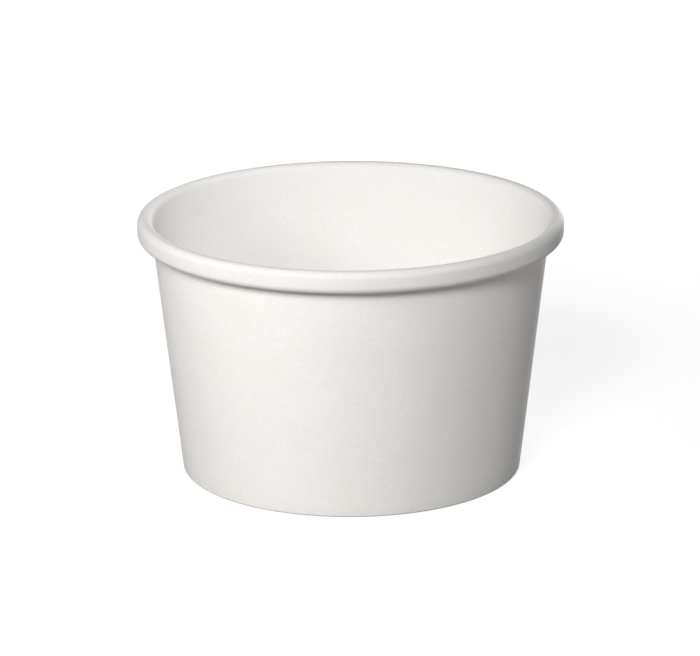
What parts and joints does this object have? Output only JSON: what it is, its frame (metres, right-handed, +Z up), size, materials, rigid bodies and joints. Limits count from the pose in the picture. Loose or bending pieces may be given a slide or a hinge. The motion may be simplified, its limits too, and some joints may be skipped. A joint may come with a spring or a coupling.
{
  "type": "paper sundae cup",
  "caption": "Plain white paperboard cup for sundaes and ice cream: tapered lap-seamed wall, rolled rim, and a recessed bottom sealed into a turned-up hem.",
  "frame": {"origin": "centre of the base ring, on the surface that the cup stands on", "axes": "+Z up along the cup's axis; the lap seam of the wall is on the +X side"},
  "size_m": [0.095, 0.095, 0.0584],
  "materials": {
    "wall_board": "matte",
    "bottom_board": "matte"
  },
  "bodies": {
    "root": {"sidewall": "wall_board", "bottom_disc": "bottom_board"}
  },
  "joints": []
}
